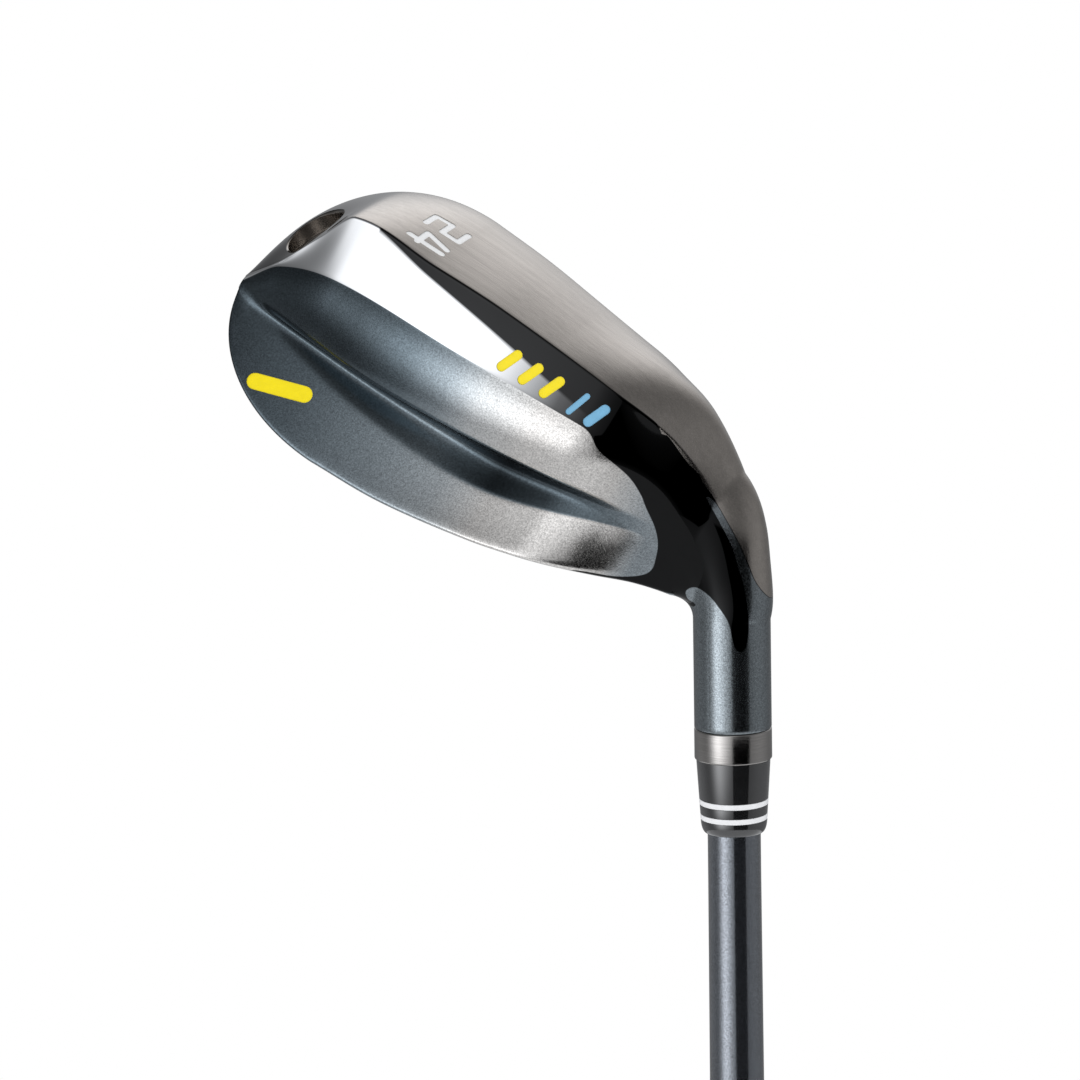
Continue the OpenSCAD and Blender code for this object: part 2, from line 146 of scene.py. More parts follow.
# Where the toe's rounding starts at the top and at the sole, and its power
TOP_END, SOLE_END = (54, 2.1), (51, 2.15)
NECK_STOPS = ((0, -35), (5, 50), (9, 100), (13, 140), (16, 150), (20, 165), (25, 190), (28, 220), (36, 325))
# Points of a section from one corner to the next. The corners are the leading edge, the front and the back of the
# topline, the lip, the groove, the bulge, the crease, and the edge of the sole
SPANS = (5, 4, 4, 3, 4, 5, 3, 8)
FEATURES = np.concatenate([[0], np.cumsum(SPANS)])
FRONT, CREASE, EDGE = FEATURES[1], FEATURES[6], FEATURES[7]


def round_end(s, start, power):
    return 1.0 if s <= start else max(1 - ((s - start) / (TOE_X - start)) ** power, 0) ** (1 / power)


def top_z(s):
    return TIP_Z + (float(at(TOP_ROWS, s)) - TIP_Z) * round_end(s, *TOP_END)


def sole_z(s):
    return TIP_Z - (TIP_Z - float(at(SOLE_ROWS, s))) * round_end(s, *SOLE_END)


def sole_low(s):
    """How far the sole's curve hangs below its two edges."""
    return mix(2.6, 0.8, ease(s / 25))


def bend(a, c, b, n):
    """n points of the curve from a to b that c pulls."""
    u = (np.arange(n) / n)[:, None]
    a, b, c = (np.asarray(v, float) for v in (a, b, c))
    return a * (1 - u) ** 2 + c * 2 * u * (1 - u) + b * u * u


def section(s, k):
    """One section of the head, k points for each of the CAD's: from the leading edge up the face and round."""
    low, high, fade = sole_z(s), top_z(s), round_end(s, *SOLE_END)
    lead = np.array([face_y(low), low])
    front = np.array([face_y(high - 1), high - 1])
    back = np.array([face_y(high) - TOP_T, high - TOP_DROP])
    lip, groove, bulge, crease, edge = (at(rows, s) for rows in (LIP_ROWS, GROOVE_ROWS, BULGE_ROWS, CREASE_ROWS,
                                                                 EDGE_ROWS))
    keel = np.array([mix(face_y(low), edge[0], 0.42), min(low, edge[1]) - sole_low(s) * 2 * fade])
    turns = ((lead, (lead + front) / 2, front), (front, (face_y(high) - 1, high + 0.6), back),
             (back, (back + lip) / 2 + (0.4, 0), lip), (lip, mix(lip, groove, 0.6), groove),
             (groove, mix(groove, np.array([groove[0], bulge[1]]), 0.6), bulge),
             (bulge, (min(bulge[0], crease[0]) - 1.6 * fade, (bulge[1] + crease[1]) / 2), crease),
             (crease, (crease + edge) / 2 + (0.3, 0), edge), (edge, keel, lead))
    points = np.concatenate([bend(a, c, b, n * k) for (a, c, b), n in zip(turns, SPANS)])
    w = ease((BLEND_FROM - s) / (BLEND_FROM - NECK_S))
    stops, angles = zip(*NECK_STOPS)
    turn = np.radians(np.interp(np.arange(len(points)) / k, stops, angles))
    floor_z, span = points[:, 1].min(), np.ptp(points[:, 1])
    round_low = mix(floor_z, low, w)
    y = mix(points[:, 0], HOSEL_R * np.cos(turn), w)
    z = round_low + mix((points[:, 1] - floor_z) / span, (1 + np.sin(turn)) / 2, w) * (high - round_low)
    return np.stack([y, z], -1)


def place(s, p):
    """Section points to the head frame. Below the crook the sections turn about it towards the shaft's axis."""
    if s >= CROOK[0]:
        return np.stack([np.full(len(p), s), p[:, 0], p[:, 1]], -1)
    a = (CROOK[0] - s) / CROOK_MEAN
    r = CROOK[1] - p[:, 1]
    return np.stack([CROOK[0] - r * math.sin(a), p[:, 0], CROOK[1] - r * math.cos(a)], -1)


# ---------------------------------------------------------------- mesh helpers
def new_object(name, verts, faces, smooth=True):
    mesh = bpy.data.meshes.new(name)
    mesh.from_pydata([tuple(v) for v in verts], [], [tuple(f) for f in faces])
    mesh.validate()
    mesh.update()
    mesh.polygons.foreach_set("use_smooth", [smooth] * len(mesh.polygons))
    obj = bpy.data.objects.new(name, mesh)
    bpy.context.scene.collection.objects.link(obj)
    return obj


def outward(obj):
    """Turns the faces of a closed mesh outwards."""
    mesh = bmesh.new()
    mesh.from_mesh(obj.data)
    bmesh.ops.recalc_face_normals(mesh, faces=mesh.faces)
    mesh.to_mesh(obj.data)
    mesh.free()


def grid_faces(rows, cols):
    """Faces between rows of points that each close on themselves."""
    out = []
    for i in range(rows - 1):
        here, there = i * cols, (i + 1) * cols
        out += [(here + j, there + j, there + (j + 1) % cols, here + (j + 1) % cols) for j in range(cols)]
    return out


ROUNDING = ((0, 1.3), (2, 0.3), (5, 0.7), (7, 0.7), (9, 0.7), (11, 0.5), (13, 0.8), (16, 0.9), (20, 1.0), (22, 0.5),
            (25, 0.35), (26.5, 0.2), (28, 0.22), (31, 0.4), (34, 0.6), (36, 1.3))
# Section points for each of the CAD's, and which of them are kept in each span
DENSE = 12
KEPT_EVERY = (3, 3, 3, 2, 2, 2, 2, 3)


def rounded(points):
    """Rounds the section's corners: each point becomes an average over the length that ROUNDING gives there."""
    n = len(points)
    step = np.linalg.norm(np.roll(points, -1, 0) - points, axis=1)
    length = np.concatenate([[0], np.cumsum(step)])
    total, length = length[-1], length[:-1]
    where, radius = zip(*ROUNDING)
    sigma = np.interp(np.arange(n) * FEATURES[-1] / n, where, radius)
    sigma = np.minimum(sigma, total / 30)[:, None]
    gap = np.abs(length[:, None] - length[None, :])
    gap = np.minimum(gap, total - gap)
    weight = np.exp(-0.5 * (gap / sigma) ** 2) * (step + np.roll(step, 1))[None, :]
    return weight @ points / weight.sum(1, keepdims=True)


def kept_points():
    """Which of the dense section points become vertices: every few, and more of them near the corners."""
    out = []
    for start, n, every in zip(FEATURES, SPANS, KEPT_EVERY):
        first, count = start * DENSE, n * DENSE
        out += [first + i for i in range(count) if i % every == 0 or i < 2 or i > count - 3]
    return np.array(out)


def head_stations(neck=46, blade=170, toe=56, toe_from=62, sweep=87):
    """Where the sections stand: along the neck, along the blade, and ever closer towards the end of the toe."""
    a = [mix(NECK_S, CROOK[0], i / neck) for i in range(neck)]
    b = [mix(CROOK[0], toe_from, i / blade) for i in range(blade)]
    c = [toe_from + (TOE_X - toe_from) * math.sin(math.radians(i / toe * sweep)) for i in range(toe + 1)]
    return a + b + c


def head_rings():
    """Rings of the outer head in the head frame, from the end of the hosel to the toe, and each ring's station."""
    keep = kept_points()
    stations = head_stations()
    rings = [place(s, rounded(section(s, DENSE))[keep]) for s in stations]
    ring = rings[0] - (rings[0] @ SHAFT_DIR)[:, None] * SHAFT_DIR
    steps = list(np.linspace(NECK_D, HOSEL_END - HOSEL_EDGE, 30)[1:][::-1])
    hosel = [ring * (1 - HOSEL_EDGE / HOSEL_R) + SHAFT_DIR * HOSEL_END]
    hosel += [ring + SHAFT_DIR * d for d in steps]
    return np.array(hosel + rings), np.array([NECK_S - (d - NECK_D) for d in [HOSEL_END] + steps] + stations)


# ---------------------------------------------------------------- where each finish ends, and the painted light and shade, in millimetres
AZIMUTH, ELEVATION = math.radians(24), math.radians(11.5)
RIGHT = np.array([math.cos(AZIMUTH), math.sin(AZIMUTH), 0])
BACK = np.array([math.sin(AZIMUTH) * math.cos(ELEVATION), -math.cos(AZIMUTH) * math.cos(ELEVATION),
                 math.sin(ELEVATION)])
UP = np.cross(BACK, RIGHT)
# Outlines of the finishes around the heel and the hosel: RIGHT and UP of the shaft's ground point, seen along BACK
PANEL = ((-26.4, -8.6), (-23, -13.2), (-18.1, -17.6), (-15.9, -20.8), (-14.9, -23.3), (-13.4, -26.7),
         (-12.9, -29.6), (-13.3, -32.1), (-14, -34), (-15.9, -35), (-20.6, -35.1), (-28.8, -33.9), (-36, -36),
         (-70, -36), (-70, 10), (-36, 1))
HOSEL_SATIN = ((7.3, -39.4), (6.2, -39.1), (4.9, -37.8), (3.7, -35.9), (2.7, -33.4), (1.2, -29.9), (-0.4, -26.8),
               (-2.3, -23.3), (-3.6, -21.8), (-4.5, -21.5), (-3.5, -23.4), (-2.3, -25.6), (-0.1, -30.2), (1, -33.9),
               (2.1, -38), (2.8, -43.8), (2.2, -48), (0.8, -48.6), (0, -46.9), (-0.7, -43.8), (-2, -41.5),
               (-3.9, -39), (-5.8, -37.5), (-6.9, -37.3), (-7.7, -37.6), (-8.1, -38.2), (-7.7, -39.3), (-6.7, -40.7),
               (-14, -42), (-14, -90), (14, -90), (14, -40))
SOLE_BRUSH = ((-14.2, -8.1), (-11, -11), (-7.8, -15.4), (-5.8, -17.6), (-5, -19.2), (-3.6, -21.1), (-2.3, -23.3),
              (-0.4, -26.8), (1.2, -29.9), (2.7, -33.4), (3.7, -35.9), (4.9, -37.8), (6.2, -39.1), (7.3, -39.4),
              (14, -39.6), (30, -20), (0, 30), (-30, 30))


def inside(points, outline):
    """Signed distance of points from a closed outline, positive inside it."""
    o = np.array(outline, float)
    best = np.full(len(points), 1e9)
    odd = np.zeros(len(points), bool)
    for a, b in zip(o, np.roll(o, -1, 0)):
        d = b - a
        t = np.clip(((points - a) @ d) / (d @ d), 0, 1)
        best = np.minimum(best, np.linalg.norm(points - a - t[:, None] * d, axis=1))
        crosses = (a[1] > points[:, 1]) != (b[1] > points[:, 1])
        with np.errstate(divide="ignore", invalid="ignore"):
            at_x = a[0] + (points[:, 1] - a[1]) / (b[1] - a[1]) * d[0]
        odd ^= crosses & (points[:, 0] < at_x)
    return np.where(odd, best, -best)


def rounded_outline(outline, steps=6):
    """A closed outline made smooth through its own points."""
    p = np.array(outline, float)
    a, b, c, d = np.roll(p, 1, 0), p, np.roll(p, -1, 0), np.roll(p, -2, 0)
    out = [0.5 * (2 * b + (c - a) * u + (2 * a - 5 * b + 4 * c - d) * u * u + (3 * b - a - 3 * c + d) * u ** 3)
           for u in np.arange(steps) / steps]
    return np.stack(out, 1).reshape(-1, 2)


# The plating on the muscle, with painted reflection in its base colour: how bright it is along X, pale where it
# reflected the lamps towards the toe, and how far down from the crease it turns black, a painted dark reflection
PLATING_PAINTED_REFLECTION = ((13, 0.0), (19, 0.07), (27, 0.4), (36, 0.85), (46, 1.0))
DARK_REFLECTION_FROM = ((3, 0.0), (12, 0.2), (30, 0.5), (62, 0.92), (70, 2))
# The satin paint's base colour carries painted light and shade, dark at the toe and pale at the heel, with a painted
# dark band along the groove: how pale it is along X, on each part of the back
PAINTED_LIGHT_TOP = ((-4, 0.26), (3, 0.66), (12, 0.68), (22, 0.52), (32, 0.32), (43, 0.23), (54, 0.17), (62, 0.12),
            (77, 0.07))
PAINTED_LIGHT_GROOVE = ((-4, 0.26), (6, 0.12), (24, 0.035), (37, 0.17), (50, 0.13), (77, 0.1))
PAINTED_LIGHT_BULGE = ((-4, 0.26), (8, 0.6), (16, 0.54), (31, 0.4), (38, 0.22), (46, 0.12), (52, 0.08), (58, 0.06),
              (77, 0.08))
# A distance field's value where its finish never is
FAR = -50


def finish_and_painted_light_fields(rings, stations):
    """For each vertex: distance inside the satin finish, distance inside the brushed sole, how much brushing is
    left, how bright the plating's painted reflection is, the painted light and shade of the satin paint, and how far
    down the muscle it is past the line where the plating's painted reflection turns black."""
    keep = kept_points() / DENSE
    row = (to_row(rings.reshape(-1, 3)) / MM - (0, 0, CLUB_LENGTH)).reshape(rings.shape)
    gap = np.linalg.norm(np.roll(rings, -1, 1) - rings, axis=2)
    arc = np.concatenate([np.zeros((len(rings), 1)), np.cumsum(gap, 1)], 1)
    total, arc = arc[:, -1:], arc[:, :-1]

    def arc_at(feature):
        return np.array([[np.interp(feature, keep, a)] for a in arc])

    crease, edge = arc_at(CREASE), arc_at(EDGE)
    above = np.where(arc < crease, np.minimum(crease - arc, arc + 0.4),
                     -np.minimum(arc - crease, total - arc - 0.4))
    below = np.where(arc > edge, np.minimum(arc - edge, total - arc), -np.minimum(edge - arc, arc))
    seen = np.stack([row @ RIGHT, row @ UP], -1).reshape(-1, 2)
    depth = (row - row.mean(1, keepdims=True)) @ BACK
    panel, hosel, sole = (inside(seen, rounded_outline(o)).reshape(above.shape)
                          for o in (PANEL, HOSEL_SATIN, SOLE_BRUSH))
    s = stations[:, None]
    front = np.where(s < 12, np.minimum(arc + 0.4, arc_at(FRONT) - arc), FAR)
    neck = mix(np.maximum(hosel, -depth - 4.5), FAR, ease((s - 2) / 8))
    satin = np.maximum(np.maximum(mix(panel, above, ease((s - 9) / 5)), neck), front)
    brushed = np.minimum(mix(sole, below, ease(s / 4)), -front)
    toe = 1 - ease((s - 66.5) / 4) + 0 * arc
    down = (arc - crease) / (edge - crease)
    x = rings[:, :, 0]
    plating_painted_light, dark_reflection_from, top, groove, bulge = (np.interp(x, *zip(*along)) for along in (
        PLATING_PAINTED_REFLECTION, DARK_REFLECTION_FROM, PAINTED_LIGHT_TOP, PAINTED_LIGHT_GROOVE, PAINTED_LIGHT_BULGE))
    # Past the sole's edge and along the neck the plating's base is set near black: painted dark reflection.
    plating_painted_light = np.where(down > 1, 0.02 * ease((x - 64) / 5), plating_painted_light)
    plating_painted_light = np.where(s < -2, 0, plating_painted_light)
    # The satin's painted light and shade, blended from the topline, groove and bulge tables.
    shade = mix(mix(top, groove, ease((keep - 12.8) / 0.5)), bulge, ease((keep - 17.6) / 2.6))
    return np.stack([f.ravel() for f in (satin, brushed, toe, plating_painted_light, shade, down - dark_reflection_from)], -1)


# ---------------------------------------------------------------- the head: a fine skin, cut like the CAD solid
def turned_mesh(profile, segments):
    """Closed mesh of a profile of (radius, height) points turned about Z. Points on the axis end it."""
    turn = np.arange(segments) * 2 * math.pi / segments
    verts = [(r * math.cos(a), r * math.sin(a), z) for r, z in profile for a in turn]
    faces = [tuple(reversed(f)) for f in grid_faces(len(profile), segments)]
    n = len(profile)
    faces += [tuple(range(segments)), tuple(range(n * segments - 1, (n - 1) * segments - 1, -1))]
    return np.array(verts), faces


def axes_to(direction):
    """3 by 3 matrix whose third column is direction."""
    return np.array(Vector(direction).to_track_quat("Z", "Y").to_matrix())


PLATE_T, PLATE_FROM, PLATE_TO, PLATE_MARGIN, PLATE_STEPS = 1.9, 8, 72, 2.8, 18
PORT_AT = np.array([76, -12, 16])
PORT_AXIS = np.array([0.677, -0.445, -0.586])
PORT_PROFILE = ((4.9, -5.8), (4.9, -3.55), (5.05, -3.4), (5.6, -3.4), (5.6, -0.9), (6.5, 0), (6.7, 6))
# How far the plate's cutter stands out of the face, and how far from the ground point the bore's cutter ends
PAST_FACE, BORE_TO = 6, 80


def plate_outline():
    """Outline of the face plate in its own plane: along X, and up the face from the leading edge."""
    mid, half = (PLATE_FROM + PLATE_TO) / 2, (PLATE_TO - PLATE_FROM) / 2
    rows = []
    for side in (-1, 1):
        for i in range(PLATE_STEPS + 1):
            x = mid - half * math.cos(i / PLATE_STEPS * math.pi)
            low = (sole_z(x) - LEAD_Z) / math.cos(LOFT) + PLATE_MARGIN
            high = (top_z(x) - 1 - LEAD_Z) / math.cos(LOFT) - PLATE_MARGIN
            bulge = max(1 - (abs(x - mid) / half) ** 4, 0) ** 0.25
            rows.append((x, (low + high) / 2 + side * bulge * (high - low) / 2))
    low, high = rows[:PLATE_STEPS + 1], rows[PLATE_STEPS + 1:]
    return low + high[-2:0:-1]


def face_point(x, up, out):
    """A point of the face plane in the head frame, out millimetres in front of it."""
    return np.array([x, LEAD_Y - up * math.sin(LOFT) + out * math.cos(LOFT),
                     LEAD_Z + up * math.cos(LOFT) + out * math.sin(LOFT)])


def prism(lower, upper):
    """Closed mesh between two outlines with the same number of points."""
    n = len(lower)
    faces = [(j, (j + 1) % n, n + (j + 1) % n, n + j) for j in range(n)]
    return np.array(list(lower) + list(upper)), faces + [tuple(range(n - 1, -1, -1)), tuple(range(n, 2 * n))]


def capsule(a, b, width, steps=8):
    """Outline of a stroke with round ends."""
    a, b = np.array(a, float), np.array(b, float)
    turn = math.atan2(*(b - a)[::-1])
    out = []
    for centre, start in ((b, turn - math.pi / 2), (a, turn + math.pi / 2)):
        out += [centre + width / 2 * np.array([math.cos(start + math.pi * i / steps),
                                               math.sin(start + math.pi * i / steps)]) for i in range(steps + 1)]
    return out


def filled(strokes, grid=0.45):
    """Triangles that fill the union of convex outlines, with points of a grid inside them."""
    verts, faces = [], []
    for outline in strokes:
        faces.append(list(range(len(verts), len(verts) + len(outline))))
        verts += [Vector(p) for p in outline]
    low, high = np.min([tuple(v) for v in verts], 0), np.max([tuple(v) for v in verts], 0)
    for x in np.arange(low[0] + grid / 2, high[0], grid):
        for y in np.arange(low[1] + grid / 2, high[1], grid):
            if any(inside(np.array([[x, y]]), o)[0] > grid * 0.35 for o in strokes):
                verts.append(Vector((x, y)))
    out = delaunay_2d_cdt(verts, [], faces, 0, 1e-5)
    used = [f for f, source in zip(out[2], out[5]) if source]
    return np.array([tuple(v) for v in out[0]]), used


def boundary(faces):
    """The directed edges that only one face has."""
    edges = dict.fromkeys(edge for f in faces for edge in zip(f, list(f[1:]) + [f[0]]))
    return [e for e in edges if (e[1], e[0]) not in edges]


def slab(points, faces, low, high):
    """Closed mesh of a flat triangulation with its points moved to low and to high."""
    n = len(points)
    sides = [(b, a, n + a, n + b) for a, b in boundary(faces)]
    tops = [tuple(n + i for i in f) for f in faces]
    return np.array(list(low) + list(high)), [tuple(reversed(f)) for f in faces] + tops + sides


def joined(meshes):
    """Several meshes as one."""
    verts, faces = [], []
    for v, f in meshes:
        faces += [tuple(i + len(verts) for i in face) for face in f]
        verts += [tuple(p) for p in v]
    return np.array(verts), faces


FIGURE_H, FIGURE_W, FIGURE_GAP, FIGURE_LINE = 8.2, 5, 1.3, 1.3
FIGURE_AT, FIGURE_TILT = np.array([54.4, -14, 3.05]), math.radians(13)
BAR_H, BAR_SLANT, BAR_HEIGHT = 5.2, 1.6, 0.66
YELLOW_BARS, BLUE_BARS = ((30, 1.8), (25.6, 1.8), (21.2, 1.8)), ((15.8, 1.1), (12, 1.8))
MARK_AT, MARK_L, MARK_W = np.array([66, -18.4, 42]), 12.5, 3
MARK_TURN, MARK_LEAN = math.radians(18), math.radians(21)


def number_strokes():
    """The loft, 24, as strokes with round ends. The 4 is open at its top."""
    t, w, h = FIGURE_LINE, FIGURE_W, FIGURE_H
    left, right, low, mid, high = t / 2, w - t / 2, t / 2, h / 2, h - t / 2
    two = [((left, high), (right, high)), ((right, high), (right, mid)), ((right, mid), (left, mid)),
           ((left, mid), (left, low)), ((left, low), (right, low))]
    shift = w + FIGURE_GAP
    four = [((shift + w * 0.74, low), (shift + w * 0.74, high)),
            ((shift + left, h * 0.33), (shift + right, h * 0.33)),
            ((shift + left, h * 0.33), (shift + w * 0.4, high))]
    centre = np.array([(2 * w + FIGURE_GAP) / 2, h / 2])
    return [capsule(np.array(a) - centre, np.array(b) - centre, t) for a, b in two + four]


def number_frame():
    """Where the number lies: its centre, and its directions across, up and outwards in the head frame."""
    c, s = math.cos(FIGURE_TILT), math.sin(FIGURE_TILT)
    return FIGURE_AT, np.array([0, -c, s]), np.array([-1, 0, 0]), np.array([0, -s, -c])


def bar_frame(s):
    """Where a bar lies at station s, as in number_frame."""
    near, here, far = (mix(at(EDGE_ROWS, q), at(CREASE_ROWS, q), BAR_HEIGHT) for q in (s - 2, s, s + 2))
    turn = math.atan2(far[0] - near[0], 4)
    return (np.array([s, here[0], here[1]]), np.array([math.cos(turn), math.sin(turn), 0]),
            np.array([0, 0, 1]), np.array([math.sin(turn), -math.cos(turn), 0]))


def bars(rows):
    """The shape and the place of each bar in rows of (station, width)."""
    return [([capsule((-BAR_SLANT / 2, -BAR_H / 2 + w / 2), (BAR_SLANT / 2, BAR_H / 2 - w / 2), w)], bar_frame(s))
            for s, w in rows]


def mark_frame():
    """Where the mark lies, as in number_frame."""
    up = np.array([0, -math.sin(MARK_LEAN), math.cos(MARK_LEAN)])
    c, s = math.cos(MARK_TURN), math.sin(MARK_TURN)
    along = np.array([1, 0, 0])
    return (MARK_AT, along * c + up * s, up * c - along * s,
            np.array([0, -math.cos(MARK_LEAN), -math.sin(MARK_LEAN)]))


ENAMEL_SINK, POCKET_DEPTH, REACH, TOOL_PROUD = 0.14, 0.5, 6, 2


def inlay(strokes, where, skin):
    """Enamel that fills a pocket in the head's skin, and the tool that cuts the pocket."""
    centre, across, up, out = where
    points, faces = filled(strokes)
    plane = centre + points[:, :1] * across + points[:, 1:] * up
    top = []
    for p in plane:
        start = to_row(p + out * REACH)[0]
        hit = skin.ray_cast(Vector(start), Vector(row_direction(-out)).normalized())
        top.append(from_row(hit[0])[0])
    top = np.array(top)
    enamel = slab(points, faces, top - out * POCKET_DEPTH, top - out * ENAMEL_SINK)
    return enamel, slab(points, faces, top - out * POCKET_DEPTH, top + out * TOOL_PROUD)


def head_pieces():
    """The head, and each of its enamels with the CAD node that it replaces."""
    rings, stations = head_rings()
    fields = finish_and_painted_light_fields(rings, stations)
    n = rings.shape[1]
    verts = to_row(rings.reshape(-1, 3))
    faces = [tuple(reversed(f)) for f in grid_faces(len(rings), n)]
    faces += [tuple(range(n)), tuple(range(len(verts) - 1, len(verts) - n - 1, -1))]
    head = new_object("head_shell", verts, faces)
    normals = np.zeros((len(verts), 3))
    corners = np.array(faces[:-2])
    p, q, r, t = (verts[corners[:, k]] for k in range(4))
    turn = np.cross(r - p, t - q)
    for k in range(4):
        np.add.at(normals, corners[:, k], turn)
    normals /= np.linalg.norm(normals, axis=1, keepdims=True)
    triangles = np.concatenate([corners[:, [0, 1, 2]], corners[:, [0, 2, 3]]])
    skin = BVHTree.FromPolygons([Vector(v) for v in verts], [tuple(t) for t in triangles])

    half = (MARK_L - MARK_W) / 2
    inlays = {"enamel_number": ([(number_strokes(), number_frame())], "loft_number"),
              "enamel_bars_yellow": (bars(YELLOW_BARS), "accent_bars_yellow"),
              "enamel_bars_blue": (bars(BLUE_BARS), "accent_bars_blue"),
              "enamel_mark": ([([capsule((-half, 0), (half, 0), MARK_W)], mark_frame())], "toe_mark")}
    cutters, enamels = [], []
    for name, (shapes, node) in inlays.items():
        made = [inlay(strokes, where, skin) for strokes, where in shapes]
        v, f = joined([m[0] for m in made])
        enamels.append((new_object(name, to_row(v), f, smooth=False), node))
        cutters += [m[1] for m in made]
    outline = plate_outline()
    cutters.append(prism([face_point(x, u, -PLATE_T) for x, u in outline],
                         [face_point(x, u, PAST_FACE) for x, u in outline]))
    v, f = turned_mesh(PORT_PROFILE, 160)
    cutters.append((v @ axes_to(PORT_AXIS).T + PORT_AT, f))
    v, f = turned_mesh(((BORE_R, TIP_SEAT), (BORE_R, BORE_TO)), 128)
    cutters.append((v @ axes_to(SHAFT_DIR).T, f))
    v, f = joined(cutters)
    tool = new_object("tool", to_row(v), f)
    outward(head)
    outward(tool)
    cut = head.modifiers.new("cut", "BOOLEAN")
    cut.operation, cut.object, cut.solver = "DIFFERENCE", tool, "EXACT"
    depsgraph = bpy.context.evaluated_depsgraph_get()
    result = bpy.data.meshes.new_from_object(head.evaluated_get(depsgraph))
    head.modifiers.clear()
    head.data = result
    bpy.data.objects.remove(tool)
    carry_skin(head, skin, verts, triangles, normals, fields)
    return head, enamels


# The finish and painted light fields of the cut faces, of those in the port, and how near the port's middle those are.
# The cut faces get a near-black plating: painted shade on the walls of the enamel pockets
CUT_FIELD, PORT_FIELD, NEAR_PORT = (-5, -5, 1, 0.02, 0.3, 0), (-5, 5, 1, 1, 0.3, 0), 10


def carry_skin(head, skin, verts, triangles, normals, fields, smooth_under=35):
    """Gives the cut head the smooth normals and the finish and painted light fields of its uncut skin."""
    mesh = head.data
    mesh.polygons.foreach_set("use_smooth", [True] * len(mesh.polygons))
    co = np.zeros(len(mesh.vertices) * 3)
    mesh.vertices.foreach_get("co", co)
    co = co.reshape(-1, 3)
    near = [skin.find_nearest(Vector(p)) for p in co]
    foot = np.array([tuple(q[0]) for q in near])
    gap = np.linalg.norm(foot - co, axis=1)
    t = triangles[[q[2] for q in near]]
    a, b, c = verts[t[:, 0]], verts[t[:, 1]], verts[t[:, 2]]
    e, f, g = b - a, c - a, foot - a
    ee, ef, ff, ge, gf = ((x * y).sum(1) for x, y in ((e, e), (e, f), (f, f), (g, e), (g, f)))
    det = np.maximum(ee * ff - ef * ef, 1e-30)
    v, w = (ff * ge - ef * gf) / det, (ee * gf - ef * ge) / det
    weight = np.stack([1 - v - w, v, w], -1)[:, :, None]
    skin_normal = (normals[t] * weight).sum(1)
    field = (fields[t] * weight).sum(1)
    buried = gap > 0.02 * MM
    in_port = buried & (np.linalg.norm(from_row(co) - PORT_AT, axis=1) < NEAR_PORT)
    field[buried], field[in_port] = CUT_FIELD, PORT_FIELD
    for k, name in enumerate(("satin", "brushed", "toe", "plating_painted_light", "shade", "past_dark_reflection_line")):
        layer = mesh.attributes.new(name, "FLOAT", "POINT")
        layer.data.foreach_set("value", field[:, k].astype(np.float32))
    layer = mesh.attributes.new("head_mm", "FLOAT_VECTOR", "POINT")
    layer.data.foreach_set("vector", from_row(co).astype(np.float32).ravel())

    loop_vertex = np.zeros(len(mesh.loops), np.int32)
    mesh.loops.foreach_get("vertex_index", loop_vertex)
    sizes = np.zeros(len(mesh.polygons), np.int32)
    mesh.polygons.foreach_get("loop_total", sizes)
    face_normal = np.zeros(len(mesh.polygons) * 3)
    mesh.polygons.foreach_get("normal", face_normal)
    face_normal = face_normal.reshape(-1, 3)
    area = np.zeros(len(mesh.polygons))
    mesh.polygons.foreach_get("area", area)
    face_of = np.repeat(np.arange(len(sizes)), sizes)
    on_skin = gap < 2e-6
    touching = on_skin[loop_vertex] & ((skin_normal[loop_vertex] * face_normal[face_of]).sum(1) > 0.8)
    outer = np.bincount(face_of, touching, len(sizes)) == sizes
    outer_loop = outer[face_of]
    summed = np.zeros_like(co)
    inner = ~outer_loop
    np.add.at(summed, loop_vertex[inner], (face_normal * area[:, None])[face_of[inner]])
    summed /= np.maximum(np.linalg.norm(summed, axis=1, keepdims=True), 1e-30)
    own = face_normal[face_of]
    average = summed[loop_vertex]
    flat = (average * own).sum(1) < math.cos(math.radians(smooth_under))
    loop_normal = np.where(flat[:, None], own, average)
    loop_normal[outer_loop] = skin_normal[loop_vertex][outer_loop]
    loop_normal /= np.linalg.norm(loop_normal, axis=1, keepdims=True)
    mesh.normals_split_custom_set([tuple(q) for q in loop_normal])


